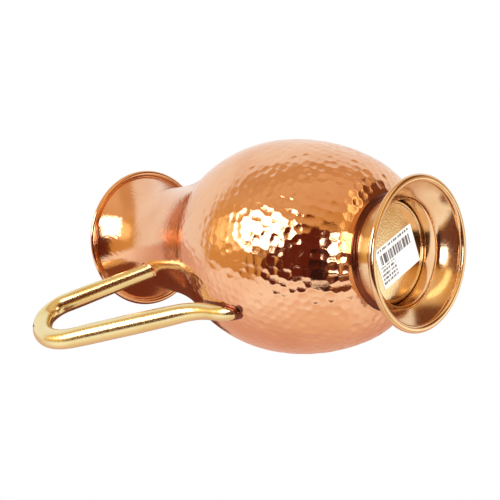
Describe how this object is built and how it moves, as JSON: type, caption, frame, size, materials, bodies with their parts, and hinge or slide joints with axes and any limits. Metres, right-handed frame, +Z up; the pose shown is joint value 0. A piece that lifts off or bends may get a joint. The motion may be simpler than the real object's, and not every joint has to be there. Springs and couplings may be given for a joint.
{
  "type": "hammered copper jug",
  "caption": "Round-bellied hammered jug with a waisted neck, a flared rolled rim, a bent tube handle and a flared foot ring under a recessed base.",
  "frame": {"origin": "centre of the foot ring's resting face", "axes": "+Z up the jug's axis, from the foot to the mouth; the handle lies in the XZ plane on the +X side"},
  "size_m": [0.1945, 0.136, 0.2732],
  "materials": {
    "hammered_copper": "copper, hammered all over in small round dents, polished and lightly lacquered",
    "spun_copper": "copper, spun, polished, with fine turning marks",
    "polished_brass": "yellow brass, smooth and polished",
    "braze_metal": "brazing brass, dressed smooth and slightly darkened",
    "steel_wire": "drawn wire, hidden inside the rolled rim",
    "label_paper": "white paper sticker with plain dark bars"
  },
  "bodies": {
    "root": {"belly": "hammered_copper", "neck": "hammered_copper", "rim_wire": "steel_wire", "seam_braze": "braze_metal", "base_disc": "spun_copper", "foot_ring": "polished_brass", "foot_braze": "braze_metal", "handle": "polished_brass", "handle_top_braze": "braze_metal", "handle_foot_braze": "braze_metal", "price_label": "label_paper"}
  },
  "joints": []
}
